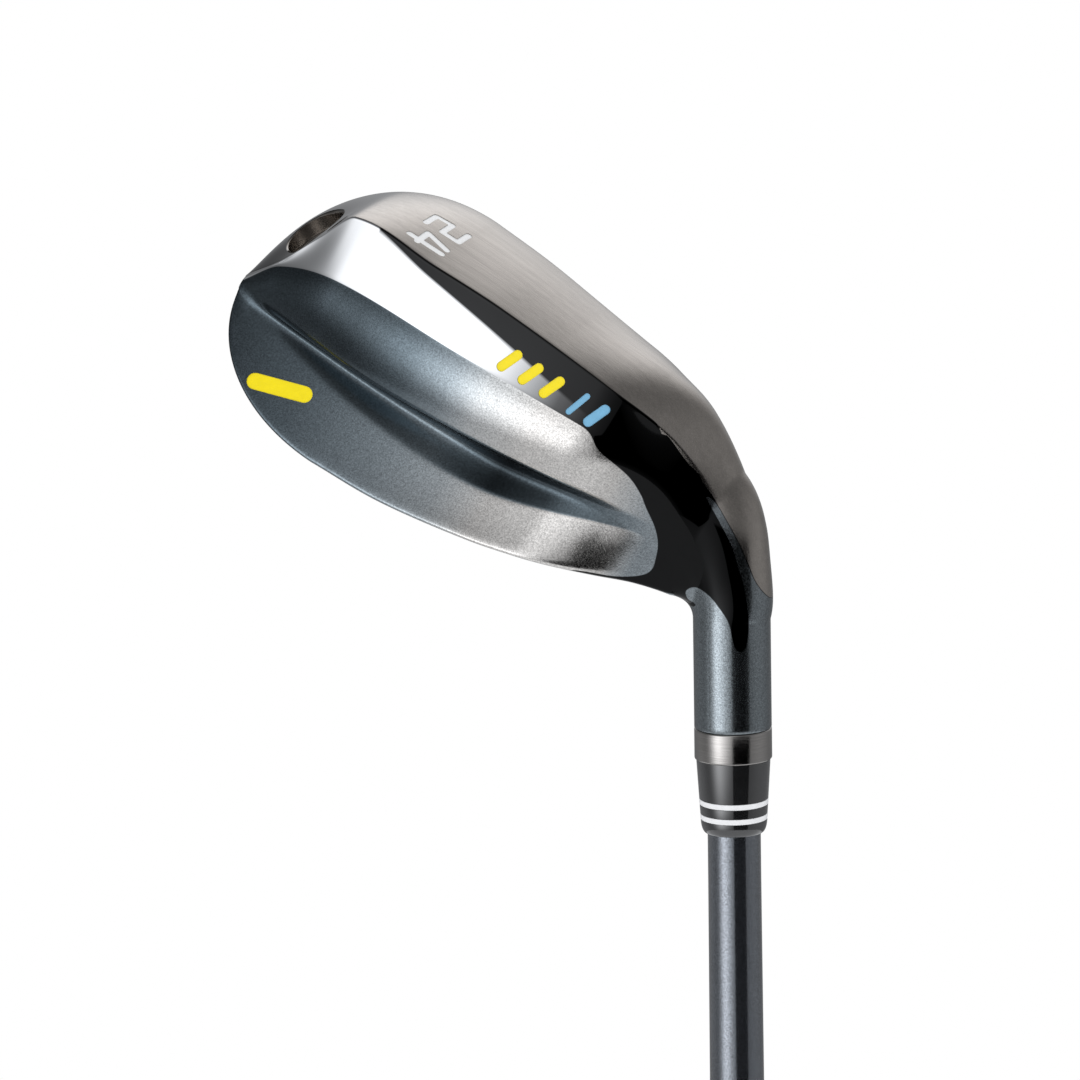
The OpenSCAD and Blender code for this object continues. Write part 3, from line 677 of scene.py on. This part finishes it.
# ---------------------------------------------------------------- materials
class Nodes:
    """Short calls for building the node tree of a new material or of a world."""

    def __init__(self, name, world=None):
        self.material = world or bpy.data.materials.new(name)
        self.material.use_nodes = True
        self.tree = self.material.node_tree
        self.shader = self.tree.nodes.get("Principled BSDF")

    def add(self, kind, **settings):
        node = self.tree.nodes.new(kind)
        for key, value in settings.items():
            setattr(node, key, value)
        return node

    def put(self, value, socket):
        if isinstance(value, bpy.types.NodeSocket):
            self.tree.links.new(value, socket)
        else:
            socket.default_value = value

    def maths(self, operation, a, b=0.0, clamp=False):
        node = self.add("ShaderNodeMath", operation=operation, use_clamp=clamp)
        self.put(a, node.inputs[0])
        self.put(b, node.inputs[1])
        return node.outputs[0]

    def attribute(self, name, output="Fac"):
        return self.add("ShaderNodeAttribute", attribute_name=name).outputs[output]

    def step(self, distance, width, offset=0.0):
        """0 to 1 across a line width millimetres wide, where a distance field passes offset."""
        across = self.maths("MULTIPLY", self.maths("SUBTRACT", distance, offset), 1 / width)
        return self.maths("ADD", across, 0.5, True)

    def blend(self, factor, a, b):
        node = self.add("ShaderNodeMix", data_type="RGBA")
        self.put(factor, node.inputs["Factor"])
        self.put(a, node.inputs["A"])
        self.put(b, node.inputs["B"])
        return node.outputs["Result"]

    def between(self, factor, a, b):
        node = self.add("ShaderNodeMix", data_type="FLOAT")
        self.put(factor, node.inputs["Factor"])
        self.put(a, node.inputs["A"])
        self.put(b, node.inputs["B"])
        return node.outputs["Result"]

    def stretched(self, where, scale):
        node = self.add("ShaderNodeVectorMath", operation="MULTIPLY")
        self.put(where, node.inputs[0])
        node.inputs[1].default_value = scale
        return node.outputs[0]

    def noise(self, where, scale=1.0, detail=2.0, roughness=0.5):
        node = self.add("ShaderNodeTexNoise")
        self.put(where, node.inputs["Vector"])
        node.inputs["Scale"].default_value = scale
        node.inputs["Detail"].default_value = detail
        node.inputs["Roughness"].default_value = roughness
        return node.outputs["Fac"]

    def cells(self, where, scale):
        node = self.add("ShaderNodeTexVoronoi", feature="F1")
        self.put(where, node.inputs["Vector"])
        node.inputs["Scale"].default_value = scale
        return node.outputs["Color"]

    def ramp(self, value, low, high, a=0.0, b=1.0):
        node = self.add("ShaderNodeMapRange")
        self.put(value, node.inputs["Value"])
        for key, number in (("From Min", low), ("From Max", high), ("To Min", a), ("To Max", b)):
            self.put(number, node.inputs[key])
        return node.outputs["Result"]

    def bump(self, height, distance, strength):
        node = self.add("ShaderNodeBump")
        node.inputs["Strength"].default_value = strength
        node.inputs["Distance"].default_value = distance
        self.put(height, node.inputs["Height"])
        return node.outputs["Normal"]

    def grey(self, value, tint):
        """A value as a colour with a faint tint."""
        node = self.add("ShaderNodeCombineColor")
        for k in range(3):
            self.put(self.maths("MULTIPLY", value, tint[k]), node.inputs[k])
        return node.outputs[0]

    def set(self, **sockets):
        for key, value in sockets.items():
            self.put(value, self.shader.inputs[key.replace("_", " ")])

    def fixed(self, **sockets):
        """Plain values on the shader's own sockets, which nothing is linked to."""
        for key, value in sockets.items():
            self.shader.inputs[key.replace("_", " ")].default_value = value


def object_mm(n):
    """Object coordinates in millimetres."""
    return n.stretched(n.add("ShaderNodeTexCoord").outputs["Object"], (1000, 1000, 1000))


def flakes(n, where, size=0.17):
    """Metal flakes: a random brightness from -0.5 to 0.5 for each cell, and a finer noise."""
    separate = n.add("ShaderNodeSeparateColor")
    n.put(n.cells(where, 1 / size), separate.inputs[0])
    cell = n.maths("SUBTRACT", separate.outputs[0], 0.5)
    fine = n.maths("SUBTRACT", n.noise(where, 0.6 / size, 1.0), 0.5)
    return n.maths("ADD", n.maths("MULTIPLY", cell, 0.55), fine)


def head_material():
    """Satin paint with flakes, black nickel, and a brushed sole, each where its field says. Painted light and shade
    sit in the satin's base colour, painted reflection in the nickel's.
    """
    n = Nodes("head_satin")
    where = n.attribute("head_mm", "Vector")
    satin = n.step(n.attribute("satin"), 0.12)
    toe = n.attribute("toe")
    brushed = n.maths("MULTIPLY", n.step(n.attribute("brushed"), 0.1, 0.12), toe)
    flake = flakes(n, where)
    lines = n.noise(n.stretched(where, (0.16, 5.5, 5.5)), 1.0, 4.0, 0.62)
    broad = n.noise(n.stretched(where, (0.03, 0.9, 0.9)), 1.0, 2.0)
    # The shade attribute is painted light and shade in the satin's base colour.
    shade = n.attribute("shade")
    sparkle = n.maths("MULTIPLY", n.ramp(flake, -0.45, 0.55, 0.62, 1.42), shade)
    # Where that painted shade is dark the satin turns bluish, and where it is pale slightly warm.
    satin_colour = n.blend(n.ramp(shade, 0.1, 0.5), n.grey(sparkle, (0.8, 1.0, 1.13)),
                           n.grey(sparkle, (1.03, 1.0, 0.96)))
    brush_value = n.maths("ADD", n.ramp(lines, 0.2, 0.8, 0.28, 0.42), n.ramp(broad, 0.3, 0.7, -0.02, 0.02))
    brush_colour = n.grey(brush_value, (1.07, 0.985, 0.9))
    # The nickel's base brightness is painted reflection: pale where it reflected the lamps, black past the line, on
    # the neck and on the pocket walls.
    painted_light_level = n.maths("MULTIPLY", n.attribute("plating_painted_light"), n.ramp(n.attribute("past_dark_reflection_line"), 0.0, 0.06, 1, 0))
    nickel = n.ramp(painted_light_level, 0.0, 1.0, 0.015, 0.62)
    colour = n.blend(satin, n.grey(nickel, (0.99, 1.0, 1.01)), satin_colour)
    colour = n.blend(brushed, colour, brush_colour)
    roughness = n.between(brushed, n.between(satin, 0.045, n.ramp(flake, -0.5, 0.5, 0.15, 0.2)),
                          n.ramp(lines, 0.2, 0.8, 0.14, 0.24))
    height = n.between(brushed, n.maths("MULTIPLY", flake, n.maths("MULTIPLY", satin, 0.35)),
                       n.maths("MULTIPLY", lines, 0.8))
    n.set(Base_Color=colour, Metallic=1.0, Roughness=roughness, Normal=n.bump(height, 0.00003, 0.6))
    return n.material


def brushed_steel(name, value, tint, stretch, roughness=(0.22, 0.34)):
    """Steel with fine lines across the stretch's long direction."""
    n = Nodes(name)
    lines = n.noise(n.stretched(object_mm(n), stretch), 1.0, 4.0, 0.6)
    n.set(Base_Color=n.grey(n.ramp(lines, 0.2, 0.8, value * 0.8, value * 1.15), tint), Metallic=1.0,
          Roughness=n.ramp(lines, 0.2, 0.8, *roughness), Normal=n.bump(lines, 0.00002, 0.5))
    return n.material


def enamel(name, colour):
    """Hard paint with a faint orange-peel surface."""
    n = Nodes(name)
    peel = n.noise(object_mm(n), 0.8, 2.0)
    shade = n.blend(n.ramp(peel, 0.3, 0.7, 0, 1), tuple(0.94 * c for c in colour) + (1,), colour + (1,))
    n.set(Base_Color=shade, Roughness=n.ramp(peel, 0.3, 0.7, 0.3, 0.36), Normal=n.bump(peel, 0.00003, 0.4))
    n.fixed(Specular_IOR_Level=0.25, Coat_Weight=0.1, Coat_Roughness=0.12)
    return n.material


def gloss_plastic(name, value, roughness=(0.07, 0.13)):
    """Moulded plastic, polished, with very faint turning lines."""
    n = Nodes(name)
    where = object_mm(n)
    lines = n.noise(n.stretched(where, (0.5, 0.5, 6)), 1.0, 3.0)
    cloud = n.noise(where, 0.35, 2.0)
    n.set(Base_Color=n.grey(n.ramp(cloud, 0.3, 0.7, value * 0.85, value * 1.15), (0.98, 1, 1.04)),
          Roughness=n.ramp(lines, 0.3, 0.7, *roughness), Normal=n.bump(lines, 0.00001, 0.35))
    n.fixed(Specular_IOR_Level=0.9, Coat_Weight=1.0, Coat_Roughness=0.05)
    return n.material


def shaft_material():
    """Graphite under a metallic flake paint and a clear coat."""
    n = Nodes("shaft_graphite")
    where = object_mm(n)
    flake = flakes(n, where, 0.15)
    cloud = n.noise(where, 0.25, 2.0)
    value = n.maths("ADD", n.ramp(flake, -0.45, 0.55, 0.1, 0.27), n.ramp(cloud, 0.3, 0.7, -0.006, 0.006))
    n.set(Base_Color=n.grey(value, (0.92, 1.0, 1.12)), Metallic=0.9,
          Roughness=n.ramp(flake, -0.5, 0.5, 0.1, 0.14), Normal=n.bump(flake, 0.00002, 0.25))
    n.fixed(Coat_Weight=1.0, Coat_Roughness=0.04)
    return n.material


def rubber(name, value):
    """Grip rubber: matt, with a fine grain and paler dust in it."""
    n = Nodes(name)
    where = object_mm(n)
    grain = n.noise(where, 4.0, 3.0, 0.6)
    cloud = n.noise(where, 0.08, 3.0)
    tone = n.maths("ADD", n.ramp(grain, 0.3, 0.7, value * 0.7, value * 1.3),
                   n.ramp(cloud, 0.35, 0.65, 0, value * 0.3))
    n.set(Base_Color=n.grey(tone, (1, 1, 1.02)), Roughness=n.ramp(grain, 0.3, 0.7, 0.55, 0.72),
          Normal=n.bump(grain, 0.00008, 0.6))
    n.fixed(Specular_IOR_Level=0.4)
    return n.material


def paper_tape():
    """Pale tape with faint fibres along the shaft."""
    n = Nodes("tape")
    fibres = n.noise(n.stretched(object_mm(n), (1.5, 1.5, 0.4)), 1.0, 4.0)
    n.set(Base_Color=n.blend(fibres, (0.6, 0.56, 0.46, 1), (0.76, 0.72, 0.62, 1)),
          Roughness=n.ramp(fibres, 0.3, 0.7, 0.6, 0.8), Normal=n.bump(fibres, 0.00005, 0.5))
    return n.material


def resin():
    """Clouded yellow epoxy."""
    n = Nodes("epoxy")
    cloud = n.noise(object_mm(n), 0.6, 3.0)
    n.set(Base_Color=n.blend(cloud, (0.5, 0.42, 0.22, 1), (0.68, 0.6, 0.38, 1)),
          Roughness=n.ramp(cloud, 0.3, 0.7, 0.2, 0.35), Normal=n.bump(cloud, 0.00005, 0.5))
    return n.material


# ---------------------------------------------------------------- turned pieces
def edge_rounded(profile, radius=0.12, steps=4):
    """A profile with its corners rounded."""
    p = [np.array(q, float) for q in profile]
    out = []
    for k, q in enumerate(p):
        before, after = p[k - 1], p[(k + 1) % len(p)]
        a, b = before - q, after - q
        la, lb = np.linalg.norm(a), np.linalg.norm(b)
        straight = abs(np.dot(a, b) / (la * lb)) > 0.995
        r = min(radius, la * 0.4, lb * 0.4)
        if straight or r < 1e-4:
            out.append(q)
            continue
        first, last = q + a / la * r, q + b / lb * r
        out += [first * (1 - u) ** 2 + q * 2 * u * (1 - u) + last * u * u
                for u in np.linspace(0, 1, steps + 1)]
    return out


def ring_piece(name, profile, segments=192):
    """A ring: a closed profile of (radius, distance from the ground point) turned about the shaft's axis."""
    turn = np.arange(segments) * 2 * math.pi / segments
    n = len(profile)
    verts = [(r * math.cos(a) * MM, r * math.sin(a) * MM, (CLUB_LENGTH - d) * MM)
             for r, d in profile for a in turn]
    faces = []
    for i in range(n):
        for j in range(segments):
            k, m = (i + 1) % n, (j + 1) % segments
            faces.append((i * segments + j, i * segments + m, k * segments + m, k * segments + j))
    obj = new_object(name, verts, faces)
    outward(obj)
    obj.data.set_sharp_from_angle(angle=math.radians(32))
    return obj


GRIP_BUTT_R, GRIP_LENGTH, CAP_T, TAPE_T, VENT_R = 13.25, 268, 6, 0.3, 1.5
GRIP_ROWS = ((CAP_T, GRIP_BUTT_R), (60, 12.0), (130, 10.5), (266, 8.6))
SHAFT_BUTT_R, SHAFT_BUTT, TAPER_D = 7.6, 4, 90
BUTT_WALL, TIP_WALL = 1, 1.7
# Where the shaft's tip ends in the bore. The CAD's ends at 33, where the bore opens through the neck's skin
TIP_SEAT = 40


def shaft_r(z):
    """The shaft's radius z millimetres above the butt end of the club."""
    return mix(SHAFT_BUTT_R, TIP_R, (z - SHAFT_BUTT) / (CLUB_LENGTH - TAPER_D - SHAFT_BUTT))


def shaft_piece():
    """The shaft as a tube: parallel at its tip, then tapered to the butt."""
    outer = [(TIP_R, d) for d in np.linspace(TIP_SEAT, TAPER_D, 8)]
    outer += [(shaft_r(z), CLUB_LENGTH - z) for z in np.linspace(CLUB_LENGTH - TAPER_D, SHAFT_BUTT, 60)[1:]]
    inner = [(SHAFT_BUTT_R - BUTT_WALL, CLUB_LENGTH - SHAFT_BUTT), (TIP_R - TIP_WALL, TAPER_D),
             (TIP_R - TIP_WALL, TIP_SEAT)]
    return ring_piece("shaft_tube", outer + inner, 160)


def groove(x, width):
    """1 in the middle of a groove and 0 outside it. x is the distance from its middle."""
    return np.clip(1 - np.abs(x) / (width / 2), 0, 1) ** 0.7


def grip_piece(segments=192, rows=440, crossings=8, pitch=27.0, depth=0.32):
    """The rubber sleeve, with two families of helical grooves that cross, and ring grooves at both ends."""
    z = np.linspace(CAP_T, GRIP_LENGTH - 2, rows)[:, None]
    turn = (np.arange(segments) * 2 * math.pi / segments)[None, :]
    radius = np.array([float(at(GRIP_ROWS, q)) for q in z[:, 0]])[:, None] + 0 * turn
    window = ease((z - 26) / 5) * ease((232 - z) / 5)
    cut = 0 * radius
    for way in (-1, 1):
        phase = crossings * turn / (2 * math.pi) + way * z / pitch
        cut = np.maximum(cut, groove((phase - np.round(phase)) * pitch * 0.8, 2.2) * window)
    for ring in (12, 15, 18, 241, 244, 247, 256):
        cut = np.maximum(cut, groove(z - ring, 1.5) + 0 * turn)
    radius -= depth * cut
    outer = np.stack([radius * np.cos(turn), radius * np.sin(turn), z + 0 * turn], -1)

    def hoop(r, height):
        return np.stack([r * np.cos(turn[0]), r * np.sin(turn[0]), np.full(segments, float(height))], -1)

    end = [hoop(8.52, 266.9), hoop(8.3, 267.6), hoop(8.0, 268), hoop(shaft_r(268) + 0.02, 268),
           hoop(shaft_r(262), 262), hoop(shaft_r(262) + TAPE_T, 262), hoop(shaft_r(CAP_T) + TAPE_T, CAP_T)]
    points = np.concatenate([outer, np.array(end)]).reshape(-1, 3) * MM
    count = rows + len(end)
    faces = grid_faces(count, segments)
    faces += [((count - 1) * segments + j, j, (j + 1) % segments, (count - 1) * segments + (j + 1) % segments)
              for j in range(segments)]
    obj = new_object("grip_rubber_sleeve", points, [tuple(reversed(f)) for f in faces])
    outward(obj)
    obj.data.set_sharp_from_angle(angle=math.radians(50))
    return obj


def cap_profile():
    """The grip's cap: a domed end with two ring grooves around the vent hole, as (radius, distance)."""
    rim = [(11.1 + 2.4 * math.sin(a), 2.4 - 2.4 * math.cos(a)) for a in np.radians(np.linspace(0, 90, 9))]
    face = [(VENT_R, 0.15), (VENT_R + 0.15, 0), (6.2, 0), (6.4, 0.35), (7.0, 0.35), (7.2, 0), (9.4, 0), (9.6, 0.35),
            (10.2, 0.35), (10.4, 0)]
    hidden = [(GRIP_BUTT_R, CAP_T), (SHAFT_BUTT_R, CAP_T), (SHAFT_BUTT_R, SHAFT_BUTT), (VENT_R, SHAFT_BUTT)]
    return [(r, CLUB_LENGTH - z) for r, z in face + rim + hidden]


def fitted_rings():
    """Every ring between the hosel and the shaft, as (name, node, slot, profile)."""
    collar_end = HOSEL_END + COLLAR_LENGTH
    end = collar_end + FERRULE_LENGTH
    low, high = (end - d for d in RINGS_FROM_END)

    def r(d):
        return mix(*FERRULE_R, (d - collar_end) / (FERRULE_LENGTH - 2))

    def band(a, b, proud=0.0):
        return edge_rounded([(TIP_R, a), (r(a) + proud, a), (r(b) + proud, b), (TIP_R, b)], 0.09)

    shoulder = high + RING_WIDTH
    nose = [(TIP_R + 0.25 + (r(shoulder) - TIP_R - 0.25) * math.cos(a), shoulder + (end - shoulder) * math.sin(a))
            for a in np.radians(np.linspace(0, 90, 14))]
    collar = edge_rounded([(TIP_R, HOSEL_END), (HOSEL_R, HOSEL_END), (HOSEL_R, collar_end), (TIP_R, collar_end)],
                          0.28)
    return (("brushed_collar", "hosel_collar", "collar_brushed", collar),
            ("ferrule_lower", "ferrule_base", "ferrule_black", band(collar_end, low)),
            ("white_ring_lower", "ferrule_ring_lower", "ring_white", band(low, low + RING_WIDTH, 0.03)),
            ("ferrule_middle", "ferrule_spacer", "ferrule_black", band(low + RING_WIDTH, high)),
            ("white_ring_upper", "ferrule_ring_upper", "ring_white", band(high, high + RING_WIDTH, 0.03)),
            ("ferrule_tip", "ferrule_nose", "ferrule_black", [(TIP_R, shoulder)] + nose + [(TIP_R, end)]))


# ---------------------------------------------------------------- camera, floor and light
def aim_camera(lens=250.0, sensor=36.0, distance=1.309, target=(-0.0283, -0.0187, 0.95), roll=-0.95):
    """A long lens that looks down the BACK direction at the head."""
    data = bpy.data.cameras.new("view")
    data.lens, data.sensor_width, data.clip_end = lens, sensor, 50
    camera = bpy.data.objects.new("view", data)
    axes = Matrix((RIGHT, UP, BACK)).transposed() @ Matrix.Rotation(math.radians(roll), 3, "Z")
    camera.matrix_world = Matrix.Translation(Vector(target) + Vector(BACK) * distance) @ axes.to_4x4()
    bpy.context.scene.collection.objects.link(camera)
    bpy.context.scene.camera = camera


def floor(radius=1.5, segments=96):
    """A pale round floor under the butt."""
    rim = [(radius * math.cos(a), radius * math.sin(a), 0) for a in np.arange(segments) * 2 * math.pi / segments]
    obj = new_object("floor", rim, [tuple(range(segments))])
    n = Nodes("floor")
    cloud = n.noise(n.add("ShaderNodeTexCoord").outputs["Object"], 6.0, 3.0)
    n.set(Base_Color=n.grey(n.ramp(cloud, 0.3, 0.7, 0.78, 0.82), (1, 1, 1)), Roughness=0.8)
    obj.data.materials.append(n.material)


# Soft lights of the studio: (angle right of the camera, height angle, half width in degrees, brightness)
LAMPS = ((-48, -8, 14, 2.6), (-22, -8, 12, 0.6), (-14, 19, 15, 0.85), (170, 38, 20, 1.6), (-115, -20, 25, 0.2),
         (-20, -60, 30, 0.25), (85, -8, 32, 0.28))
ROOM, DIFFUSE_LIGHT = 0.13, 1.08
# The black flag to the right of the camera, in degrees: its left and right sides, where its lower end fades in,
# and where its upper end fades out
FLAG = (-3.4, 48.4, -36, -28, -6, -4)
FLAG_EDGE = 0.4


def studio():
    """The world: soft lamps in a dim room with one black flag. The camera sees a white page behind the object."""
    world = bpy.data.worlds.new("studio")
    bpy.context.scene.world = world
    n = Nodes("studio", world)
    n.tree.nodes.clear()
    direction = n.add("ShaderNodeTexCoord").outputs["Generated"]
    towards = np.array([math.sin(AZIMUTH), -math.cos(AZIMUTH), 0])

    def dot(vector):
        node = n.add("ShaderNodeVectorMath", operation="DOT_PRODUCT")
        n.put(direction, node.inputs[0])
        node.inputs[1].default_value = tuple(vector)
        return node.outputs["Value"]

    value = ROOM
    for angle, height, width, brightness in LAMPS:
        a, h = math.radians(angle), math.radians(height)
        aim = (RIGHT * math.sin(a) + towards * math.cos(a)) * math.cos(h) + np.array([0, 0, math.sin(h)])
        fall = n.maths("MULTIPLY", n.maths("SUBTRACT", dot(aim), 1.0), 1 / math.radians(width) ** 2)
        value = n.maths("ADD", value, n.maths("MULTIPLY", n.maths("EXPONENT", fall), brightness))
    turn = n.maths("MULTIPLY", n.maths("ARCTAN2", dot(RIGHT), dot(towards)), 180 / math.pi)
    rise = n.maths("MULTIPLY", n.maths("ARCSINE", dot((0, 0, 1))), 180 / math.pi)
    left, right, low, low_full, high_full, high = FLAG
    flag = n.ramp(turn, left - FLAG_EDGE, left)
    for side in (n.ramp(turn, right, right + FLAG_EDGE, 1, 0), n.ramp(rise, low, low_full),
                 n.ramp(rise, high_full, high, 1, 0)):
        flag = n.maths("MULTIPLY", flag, side)
    value = n.maths("MULTIPLY", value, n.maths("SUBTRACT", 1.0, flag))
    rays = n.add("ShaderNodeLightPath")
    value = n.between(rays.outputs["Is Diffuse Ray"], value, DIFFUSE_LIGHT)
    light = n.add("ShaderNodeBackground")
    n.put(n.grey(value, (0.975, 0.99, 1.02)), light.inputs["Color"])
    page = n.add("ShaderNodeBackground")
    page.inputs["Color"].default_value = (1, 1, 1, 1)
    mixed = n.add("ShaderNodeMixShader")
    n.put(rays.outputs["Is Camera Ray"], mixed.inputs[0])
    n.put(light.outputs[0], mixed.inputs[1])
    n.put(page.outputs[0], mixed.inputs[2])
    n.put(mixed.outputs[0], n.add("ShaderNodeOutputWorld").inputs["Surface"])


def dressed(piece, material, slot, *nodes):
    """Gives a piece its material, its place on the club and the CAD nodes it stands for."""
    piece.data.materials.clear()
    piece.data.materials.append(material)
    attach(piece, "root")
    if nodes:
        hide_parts(*nodes)


aim_camera()
studio()
floor()
bpy.context.scene.view_settings.view_transform = "Standard"

head, enamels = head_pieces()
dressed(head, head_material(), "head_satin", "head_body")
ENAMEL_COLOURS = {"enamel_white": (0.82, 0.82, 0.81), "enamel_yellow": (0.95, 0.76, 0.0),
                  "enamel_blue": (0.19, 0.45, 0.66)}
paints = {slot: enamel(slot, colour) for slot, colour in ENAMEL_COLOURS.items()}
SLOT_OF = {"loft_number": "enamel_white", "accent_bars_yellow": "enamel_yellow",
           "accent_bars_blue": "enamel_blue", "toe_mark": "enamel_yellow"}
for piece, node in enamels:
    dressed(piece, paints[SLOT_OF[node]], SLOT_OF[node], node)

RING_MATERIALS = {"ferrule_black": gloss_plastic("ferrule_black", 0.012),
                  "ring_white": enamel("ring_white", (0.86, 0.86, 0.86)),
                  "collar_brushed": brushed_steel("collar_brushed", 0.36, (1.03, 0.99, 0.95), (0.25, 0.25, 9),
                                                  (0.1, 0.16))}
for name, node, slot, profile in fitted_rings():
    dressed(ring_piece(name, profile), RING_MATERIALS[slot], slot, node)
bond = [(TIP_R, TIP_SEAT), (BORE_R, TIP_SEAT), (BORE_R, HOSEL_END), (TIP_R, HOSEL_END)]
dressed(ring_piece("bond_line", bond), resin(), "epoxy", "hosel_epoxy")
dressed(shaft_piece(), shaft_material(), "shaft_graphite", "shaft")
dressed(grip_piece(), rubber("grip_rubber", 0.018), "grip_rubber", "grip_sleeve")
dressed(ring_piece("grip_end_cap", cap_profile()), rubber("cap_rubber", 0.015), "cap_rubber", "grip_cap")

# The CAD bodies that stay as they are and only get a material
KEPT_NODES = {"face_plate": brushed_steel("face_steel", 0.42, (0.98, 0.99, 1.02), (7, 0.5, 0.5), (0.26, 0.36)),
              "toe_weight": brushed_steel("weight_metal", 0.6, (1.0, 0.99, 0.97), (4, 4, 4), (0.25, 0.33)),
              "swing_weight_pin": brushed_steel("pin_brass", 0.62, (1.1, 0.88, 0.48), (3, 3, 3)),
              "grip_tape": paper_tape()}
for node, material in KEPT_NODES.items():
    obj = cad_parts[node]
    obj.data.materials.clear()
    obj.data.materials.append(material)
